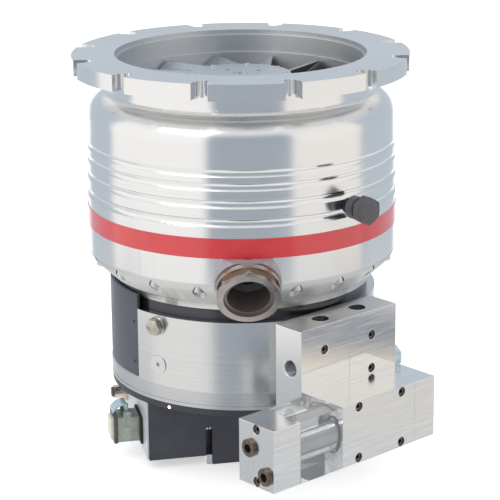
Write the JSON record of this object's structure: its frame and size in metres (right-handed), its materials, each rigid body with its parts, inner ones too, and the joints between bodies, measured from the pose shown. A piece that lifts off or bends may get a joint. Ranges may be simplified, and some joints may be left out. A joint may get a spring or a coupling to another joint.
{
  "type": "turbomolecular pump",
  "caption": "Large turbomolecular vacuum pump with slotted inlet flange, ribbed casing, foreline port, drive electronics and a valve block with sight glass.",
  "frame": {"origin": "on the rotor axis, in the plane of the feet of the drive housing", "axes": "+Z along the rotor axis and out of the inlet, -Y on the side of the foreline port, +X to its right"},
  "size_m": [0.35, 0.4306, 0.406],
  "materials": {
    "machined_aluminium": "fine turned finish",
    "pale_aluminium": "bead blasted, satin",
    "dark_ring": "dark anodised, satin",
    "band_paint": "satin film",
    "anthracite_paint": "fine powder coat",
    "carbon_sleeve": "wound carbon fibre",
    "steel": "bright steel",
    "nickel": "nickel plated",
    "bronze_plated": "dull bronze plating",
    "winding_copper": "varnished copper",
    "chromated_zinc": "yellow chromated zinc",
    "blue_zinc": "clear zinc plate",
    "black_plastic": "moulded black",
    "beige_plastic": "moulded beige",
    "rubber_seal": "black rubber",
    "block_aluminium": "milled, smooth",
    "clear_acrylic": "clear acrylic, polished faces",
    "clear_glass": "clear glass",
    "light_lens": "clear white lens",
    "disc_aluminium": "turned"
  },
  "bodies": {
    "pump": {"base_housing": "pale_aluminium", "base_ring": "pale_aluminium", "bearing_column": "machined_aluminium", "casing_screws": "steel", "colour_band": "band_paint", "connector_plate": "pale_aluminium", "cover_panel": "anthracite_paint", "cover_screws": "steel", "drag_stator": "machined_aluminium", "drive_housing": "anthracite_paint", "drive_lid": "anthracite_paint", "earth_foot": "blue_zinc", "end_plugs": "bronze_plated", "end_screws": "steel", "foreline_collar": "chromated_zinc", "foreline_flange": "chromated_zinc", "foreline_seal": "rubber_seal", "inlet_casing": "machined_aluminium", "left_end_block": "block_aluminium", "lower_bearing": "steel", "lower_housing": "machined_aluminium", "main_block": "block_aluminium", "main_screws": "steel", "motor_winding": "winding_copper", "neck_ring": "dark_ring", "power_gasket": "black_plastic", "power_insert": "beige_plastic", "power_lip": "black_plastic", "power_screw": "blue_zinc", "power_shell": "blue_zinc", "purge_plug": "nickel", "right_end_block": "block_aluminium", "seal_disc": "disc_aluminium", "side_fitting": "blue_zinc", "sight_block": "clear_acrylic", "sight_seals": "rubber_seal", "sight_tube": "clear_glass", "signal_insert": "black_plastic", "signal_shell": "blue_zinc", "slot_screws": "steel", "stator_vanes_one": "machined_aluminium", "stator_vanes_two": "machined_aluminium", "status_light": "light_lens", "upper_bearing": "steel", "upright_left": "block_aluminium", "upright_right": "block_aluminium", "upright_screws": "steel", "vent_seal": "rubber_seal"},
    "rotor": {"rotor_hub": "machined_aluminium", "rotor_cap": "machined_aluminium", "cap_screws": "steel", "rotor_wheel_one": "machined_aluminium", "rotor_wheel_two": "machined_aluminium", "rotor_wheel_three": "machined_aluminium", "drag_sleeve": "carbon_sleeve", "rotor_shaft": "steel"},
    "vent_stud": {"vent_stud": "steel"},
    "vent_knob": {"vent_knob": "black_plastic"},
    "locking_lever": {"power_lever": "blue_zinc"}
  },
  "joints": [
    {"name": "rotor_spin", "type": "hinge", "parent": "pump", "child": "rotor", "pos_m": [0, 0, 0.25], "axis": [0, 0, 1], "continuous": true},
    {"name": "vent_travel", "type": "slide", "parent": "pump", "child": "vent_stud", "axis": [0.6225, -0.7826, 0], "range_m": [0, 0.003]},
    {"name": "vent_turn", "type": "hinge", "parent": "vent_stud", "child": "vent_knob", "pos_m": [0.10583, -0.13304, 0.2787], "axis": [0.6225, -0.7826, 0], "range_deg": [0, 720]},
    {"name": "lever_swing", "type": "hinge", "parent": "pump", "child": "locking_lever", "pos_m": [-0.12185, -0.05241, 0.0495], "axis": [-0.1771, 0.9842, 0], "range_deg": [0, 80]}
  ],
  "couplings": [
    {"joint": "vent_turn", "follows": "vent_travel", "rad_per_m": 4188.8}
  ]
}
